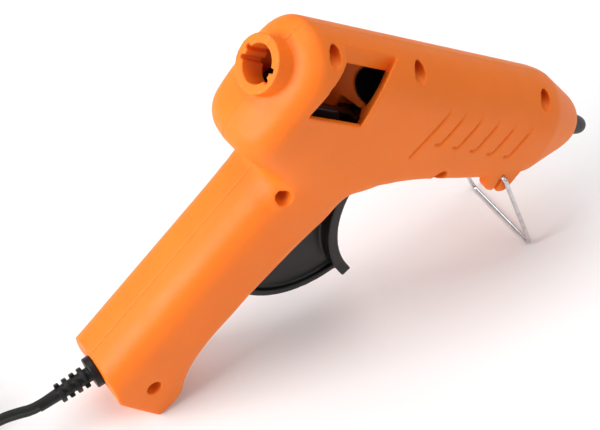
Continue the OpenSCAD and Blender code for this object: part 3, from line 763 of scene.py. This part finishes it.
class GLUEGUN_OT_lead(bpy.types.Operator):
    """Add the flat twin lead in its hank, the tie, the plug and its pins"""

    bl_idname = "gluegun.lead"
    bl_label = "Lead and plug"

    def execute(self, context):
        pins = self.add_pins()
        plug = self.add_plug()
        tie = softened("cord_tie", 0.2, rounding=1, name="hank_tie")
        relief = self.add_strain_relief()
        lead = settings("lead")
        line = lead_line()
        mesh = tube_mesh("flat_twin_lead", line, self.twin_outline(lead.width, lead.thickness))
        piece = dress("flat_twin_lead", mesh, "black_pvc", BODY_OF["power_cord"], ["power_cord", "cord_coil"])
        length = line_length(line)
        self.report({"INFO"}, f"lead {length:.3f} m")
        return {"FINISHED"}

    def twin_outline(self, width, thickness):
        """Two round cores side by side under one skin, with a groove along each flat side."""
        r = thickness / 2
        offset = width / 2 - r
        steps = 9
        right = [(r * math.cos(a), offset + r * math.sin(a))
                 for a in (math.radians(-28 + 236 * k / steps) for k in range(steps + 1))]
        return right + [(-x, -y) for x, y in right]

    def add_pins(self):
        radius = 2.0
        y_middle = PLUG_REAR[1]
        start = PLUG_REAR[0] + PLUG_SLEEVE + PLUG_LENGTH
        profile = [(-7, 0), (-7, radius - 0.3), (0, radius - 0.3), (0, radius), (PIN_LENGTH - 1, radius),
                   (PIN_LENGTH - 0.3, radius * 0.8),
                   (PIN_LENGTH, radius * 0.45), (PIN_LENGTH, 0)]
        whole = bmesh.new()
        for side in (-0.5, 0.5):
            pin = turned(profile, Vector((start, y_middle + side * PIN_SPACING, PLUG_REAR[2])) * MM,
                         Vector((1, 0, 0)), 32)
            mesh = bpy.data.meshes.new("pin")
            pin.to_mesh(mesh)
            pin.free()
            whole.from_mesh(mesh)
            bpy.data.meshes.remove(mesh)
        return new_piece("plug_pin_pair", whole, "zinc_steel", BODY_OF["plug_pins"], ["plug_pins"])

    def add_plug(self):
        return softened("plug_body", 0.3, rounding=6, triangles=60000, name="moulded_plug")

    def add_strain_relief(self):
        """A flange and four fins, slotted in turn, on a tapered sleeve."""
        bm = bmesh.new()
        base, axis = in_gun(*GLAND_PLACE), GLAND_AXIS
        outer = [(-9, 1.6), (-9, 2.6), (-5.4, 2.6), (-5.4, 4.3), (-3.4, 4.3), (-3.4, 2.6), (0.25, 2.6),
                 (0.25, 5.45), (3.05, 5.45), (3.05, 2.5), (14, 2.2), (SLEEVE_END, 1.9), (SLEEVE_END, 1.55)]
        parts = [turned(rounded_profile(outer, 0.5, 3), base, axis, 48)]
        for number in range(4):
            start = 4.6 + 2.9 * number
            for half in (0, 1):
                parts.append(self.fin_half(base, axis, start, 3.7 - 0.1 * number, number, half))
        for part in parts:
            mesh = bpy.data.meshes.new("part")
            part.to_mesh(mesh)
            part.free()
            bm.from_mesh(mesh)
            bpy.data.meshes.remove(mesh)
        mesh = bpy.data.meshes.new("strain_relief_copy")
        bm.to_mesh(mesh)
        bm.free()
        grid = 0.16 * MM
        mesh = through(mesh, ("REMESH", {"mode": "VOXEL", "voxel_size": grid}))
        relax(mesh, 6, 2)
        return dress("cord_strain_relief", mesh, SLOT_OF["strain_relief"], BODY_OF["strain_relief"],
                     ["strain_relief"])

    def fin_half(self, base, axis, start, radius, number, half):
        gap = math.radians(34)
        corners = [(start, 1.9), (start, radius - 0.2), (start + 0.2, radius), (start + 1.5, radius),
                   (start + 1.7, radius - 0.2), (start + 1.7, 1.9)]
        bm = bmesh.new()
        face = bm.faces.new([bm.verts.new((r * MM, 0, x * MM)) for x, r in corners])
        turn = gap / 2 + math.pi * half + (math.pi / 2 if number % 2 else 0)
        bmesh.ops.spin(bm, geom=[face, *face.edges, *face.verts], cent=(0, 0, 0), axis=(0, 0, 1),
                       angle=math.pi - gap, steps=20, use_duplicate=False)
        bmesh.ops.rotate(bm, verts=bm.verts, cent=(0, 0, 0), matrix=Matrix.Rotation(turn, 3, "Z"))
        bmesh.ops.recalc_face_normals(bm, faces=bm.faces)
        bm.transform(Matrix.Translation(base) @ gun_turn(LEFT, axis))
        return bm


class GLUEGUN_OT_shells(bpy.types.Operator):
    """Add the two moulded half shells, with soft mould radii and a parting line"""

    bl_idname = "gluegun.shells"
    bl_label = "Shells"

    def execute(self, context):
        shell = settings("shell")
        for name, side in (("right", 1), ("left", -1)):
            piece = softened(name + "_shell", shell.grid / MM, shell.relaxing, 1, 195000,
                             name + "_half_shell", [blend_neck])
            close_seam(piece.data, side)
        return {"FINISHED"}


class GLUEGUN_OT_screws(bpy.types.Operator):
    """Add the cross-head screws that join the shells and hold the lead's clamp"""

    bl_idname = "gluegun.screws"
    bl_label = "Screws"

    def execute(self, context):
        softened("shell_screws", 0.16, 2, 1, 60000, "cross_head_screws")
        softened("clamp_screws", 0.18, 2, 1, 20000, "cord_clamp_screws")
        return {"FINISHED"}


class GLUEGUN_OT_nozzle(bpy.types.Operator):
    """Add the brass nozzle, its rubber jacket, the melting chamber and its fittings"""

    bl_idname = "gluegun.nozzle"
    bl_label = "Nozzle and chamber"

    def execute(self, context):
        origin = in_gun(0, 0, 0)
        tip = 162.8
        brass = [(135, 1.5), (135, 3.4), (138.1, 3.4), (138.1, 5.4), (143.5, 5.4), (143.5, 3), (159.8, 2.6),
                 (tip, 1.5), (tip, 0.9), (160, 0.9), (150, 1.5)]
        new_piece("brass_nozzle", turned(rounded_profile(brass, 0.2, 3), origin, FORWARD, 48), "brass",
                  BODY_OF["nozzle"], ["nozzle"])
        jacket = [(146.5, 3.1), (146.5, 3.5), (151.4, 3.66), (153, 3.7), (156.6, 3.67), (158.8, 3.5),
                  (160.4, 3.2), (161.6, 2.75), (162.4, 2.2), (tip - 0.05, 1.7), (tip - 0.3, 1.56),
                  (159.9, 2.7)]
        new_piece("nozzle_rubber_jacket", turned(rounded_profile(jacket, 0.25, 3), origin, FORWARD, 64),
                  "black_rubber", BODY_OF["nozzle_jacket"], ["nozzle_jacket"])
        softened("melt_chamber", 0.4, 10, 1, 60000, "cast_melt_chamber")
        softened("chamber_ring", 0.35, 6, 1, 20000, "chamber_seal_ring")
        softened("inlet_sleeve", 0.3, 6, 1, 30000, "stick_sleeve")
        softened("heater_clip", 0.25, 2, 1, 20000, "heater_spring_clip")
        softened("heater_element", 0.3, 2, 1, 12000, "ptc_heater")
        return {"FINISHED"}


class GLUEGUN_OT_trigger(bpy.types.Operator):
    """Add the trigger, its return spring, and the carriage, link and gripper that it drives"""

    bl_idname = "gluegun.trigger"
    bl_label = "Trigger and feed"

    def execute(self, context):
        softened("trigger", 0.32, 24, 5, 120000, "trigger_lever")
        softened("feed_carriage", 0.25, 4, 2, 50000, "stick_carriage")
        softened("drive_link", 0.22, 4, 2, 30000, "trigger_link")
        softened("stick_gripper", 0.18, 2, 1, 30000, "toothed_gripper")
        self.add_spring()
        return {"FINISHED"}

    def add_spring(self):
        start, end, height, radius, turns, steps = 21.6, 49.0, -50.0, 3.2, 8, 24
        line = []
        for k in range(turns * steps + 1):
            angle = math.tau * k / steps
            line.append(in_gun(start + (end - start) * k / (turns * steps), radius * math.cos(angle),
                               height + radius * math.sin(angle)))
        mesh = tube_mesh("return_spring", line, circle_outline(0.45 * MM, 10), upright=False)
        piece = dress("return_spring", mesh, SLOT_OF["trigger_spring"], BODY_OF["trigger_spring"],
                      ["trigger_spring"])
        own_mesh(piece)


class GLUEGUN_OT_stand(bpy.types.Operator):
    """Add the wire stand, bent from one length of steel wire"""

    bl_idname = "gluegun.stand"
    bl_label = "Wire stand"

    def execute(self, context):
        stand = settings("stand")
        pivot = Vector(JOINTS["stand_fold"]["pos_m"])
        low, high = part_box("wire_stand")
        half = (high.y - low.y) / 2 - stand.wire / 2
        foot = in_gun(151, 0, -41.2)
        down = foot - pivot
        ends = 12.2 * MM
        corners = [(0, ends), (0, half), (1, half), (1, -half), (0, -half), (0, -ends)]
        bends = [0, 1.3 * MM, stand.foot_bend, stand.foot_bend, 1.3 * MM, 0]
        points = [pivot + down * along + LEFT * across for along, across in corners]
        line = self.bent(points, bends)
        mesh = tube_mesh("wire_stand_loop", line, circle_outline(stand.wire / 2, 24), upright=False)
        dress("wire_stand_loop", mesh, SLOT_OF["wire_stand"], BODY_OF["wire_stand"], ["wire_stand"])
        return {"FINISHED"}

    def bent(self, points, radii, steps=10):
        """A line through the points, with an arc at each right-angled corner."""
        line = [points[0]]
        for before, corner, after, radius in zip(points, points[1:], points[2:], radii[1:]):
            back, on = (before - corner).normalized(), (after - corner).normalized()
            centre = corner + (back + on) * radius
            for k in range(steps + 1):
                angle = math.pi / 2 * k / steps
                line.append(centre - on * radius * math.cos(angle) - back * radius * math.sin(angle))
        return line + [points[-1]]


class GLUEGUN_OT_wiring(bpy.types.Operator):
    """Finish the lead's clamp, its joints, and the nodes that are shown as they are"""

    bl_idname = "gluegun.wiring"
    bl_label = "Wiring and small parts"

    def execute(self, context):
        softened("cord_clamp", 0.25, 2, 1, 20000, "cord_clamp_bar")
        softened("wire_joints", 0.25, 2, 1, 20000, "crimped_joints")
        softened("inner_cord", 0.22, 8, 1, 40000, "lead_inside_handle")
        shown_as_they_are = ["gripper_pin", "link_pin", "trigger_pin", "lead_live", "lead_neutral"]
        for node in shown_as_they_are:
            slots = frame["nodes"][node].material_slots
            for slot in slots:
                slot.link = "OBJECT"
                slot.material = finish_of(SLOT_OF[node])
        return {"FINISHED"}


class GLUEGUN_PT_panel(bpy.types.Panel):
    """Lists the glue gun's settings and the operators that build it"""

    bl_idname = "GLUEGUN_PT_panel"
    bl_label = "Glue gun"
    bl_space_type = "VIEW_3D"
    bl_region_type = "UI"
    bl_category = "Glue gun"

    def draw(self, context):
        for group, names in SETTING_NAMES.items():
            box = self.layout.box()
            for name in names:
                box.prop(settings(group), name)
        for operator in OPERATORS:
            self.layout.operator(operator.bl_idname)


SETTING_GROUPS = {
    "shell": GlueGunShellSettings,
    "trigger": GlueGunTriggerSettings,
    "stand": GlueGunStandSettings,
    "lead": GlueGunLeadSettings,
    "stage": GlueGunStageSettings,
}
SETTING_NAMES = {group: list(kind.__annotations__) for group, kind in SETTING_GROUPS.items()}
OPERATORS = [
    GLUEGUN_OT_stage,
    GLUEGUN_OT_lead,
    GLUEGUN_OT_shells,
    GLUEGUN_OT_screws,
    GLUEGUN_OT_nozzle,
    GLUEGUN_OT_trigger,
    GLUEGUN_OT_stand,
    GLUEGUN_OT_wiring,
]
CLASSES = [*SETTING_GROUPS.values(), *OPERATORS, GLUEGUN_PT_panel]


def register():
    for kind in CLASSES:
        bpy.utils.register_class(kind)
    for group, kind in SETTING_GROUPS.items():
        setattr(bpy.types.Scene, "glue_gun_" + group, bpy.props.PointerProperty(type=kind))


def unregister():
    for group in SETTING_GROUPS:
        delattr(bpy.types.Scene, "glue_gun_" + group)
    for kind in reversed(CLASSES):
        bpy.utils.unregister_class(kind)


def main():
    register()
    for operator in OPERATORS:
        category, name = operator.bl_idname.split(".")
        getattr(getattr(bpy.ops, category), name)()


if __name__ == "__main__":
    main()
